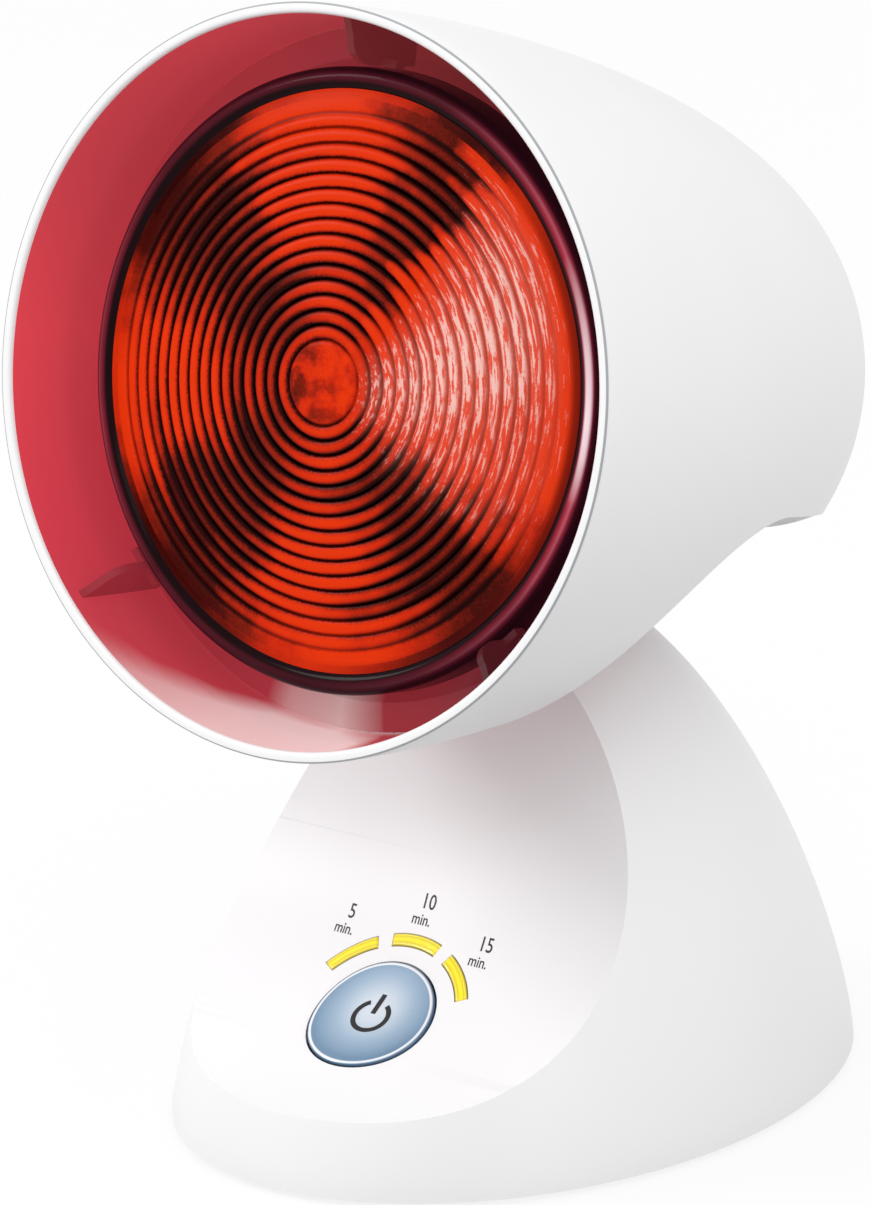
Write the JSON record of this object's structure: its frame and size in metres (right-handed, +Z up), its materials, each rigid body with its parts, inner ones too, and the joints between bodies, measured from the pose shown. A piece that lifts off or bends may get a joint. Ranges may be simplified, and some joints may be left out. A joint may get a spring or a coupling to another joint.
{
  "type": "infrared heat therapy lamp",
  "caption": "Table lamp for warmth: a red reflector bulb in a domed white hood that tilts on a domed stand with a push button and timer lights.",
  "frame": {"origin": "on the table under the middle of the lamp's outline", "axes": "+Z up, the hood's mouth faces -Y, X across the lamp"},
  "size_m": [0.145, 0.1701, 0.2325],
  "materials": {
    "white_shell": "white injection-moulded plastic, satin gloss",
    "white_shroud": "white heat-proof plastic, matt",
    "lens_glass": "red pressed glass with concentric rings",
    "reflector_glass": "pressed glass, mirrored inside and red outside",
    "filament": "drawn tungsten and nickel wire",
    "cap_metal": "rolled sheet, bright",
    "contact_brass": "stamped brass",
    "black_insulator": "black glass, glossy",
    "ceramic": "white steatite ceramic, unglazed",
    "steel": "zinc-plated steel",
    "bearing_plastic": "natural acetal, matt",
    "fibre": "pressed fibre, matt",
    "rubber": "black rubber, matt",
    "button_blue": "metallic blue painted plastic",
    "light_window": "clear yellow acrylic",
    "led_epoxy": "clear epoxy",
    "board": "glass-fibre board with green solder mask",
    "switch_black": "black moulded plastic",
    "relay_blue": "blue moulded plastic",
    "capacitor_yellow": "yellow moulded plastic",
    "terminal_green": "green moulded plastic",
    "fuse_glass": "glass tube with tinned end caps"
  },
  "bodies": {
    "stand": {"hinge_axle": "steel", "hinge_nut": "steel", "friction_washer_left": "fibre", "friction_washer_right": "fibre", "detent_spring": "steel", "detent_screw": "steel", "stand_housing": "white_shell", "bottom_plate": "white_shell", "bottom_screws": "steel", "foot_front_left": "rubber", "foot_front_right": "rubber", "foot_rear_left": "rubber", "foot_rear_right": "rubber", "switch_body": "switch_black", "switch_dome": "steel", "light_guide_5": "light_window", "light_guide_10": "light_window", "light_guide_15": "light_window", "led_5": "led_epoxy", "led_10": "led_epoxy", "led_15": "led_epoxy", "timer_board": "board", "timer_board_screws": "steel", "power_board": "board", "power_board_screws": "steel", "relay": "relay_blue", "supply_capacitor": "capacitor_yellow", "terminal_block": "terminal_green", "fuse": "fuse_glass", "cord_gland": "rubber"},
    "head": {"hood": "white_shell", "bulb_shroud": "white_shroud", "shroud_screws": "steel", "bulb_lens": "lens_glass", "bulb_reflector": "reflector_glass", "bulb_filament": "filament", "bulb_cap": "cap_metal", "bulb_insulator": "black_insulator", "bulb_tip": "contact_brass", "lampholder": "ceramic", "lampholder_sleeve": "contact_brass", "lampholder_contact": "contact_brass", "lampholder_screws": "steel", "lamp_bracket": "steel", "bracket_screws": "steel", "neck_left": "white_shell", "neck_right": "white_shell", "neck_screws": "steel", "hinge_bush_left": "bearing_plastic", "hinge_bush_right": "bearing_plastic"},
    "button": {"timer_button": "button_blue", "switch_plunger": "switch_black"}
  },
  "joints": [
    {"name": "head_tilt", "type": "hinge", "parent": "stand", "child": "head", "pos_m": [0, 0.00108, 0.0792], "axis": [-1, 0, 0], "range_deg": [-20, 20]},
    {"name": "button_press", "type": "slide", "parent": "stand", "child": "button", "axis": [0, 0.515, -0.8572], "range_m": [0, 0.001], "stiffness_N_per_m": 1500, "springref_m": -0.0005}
  ]
}
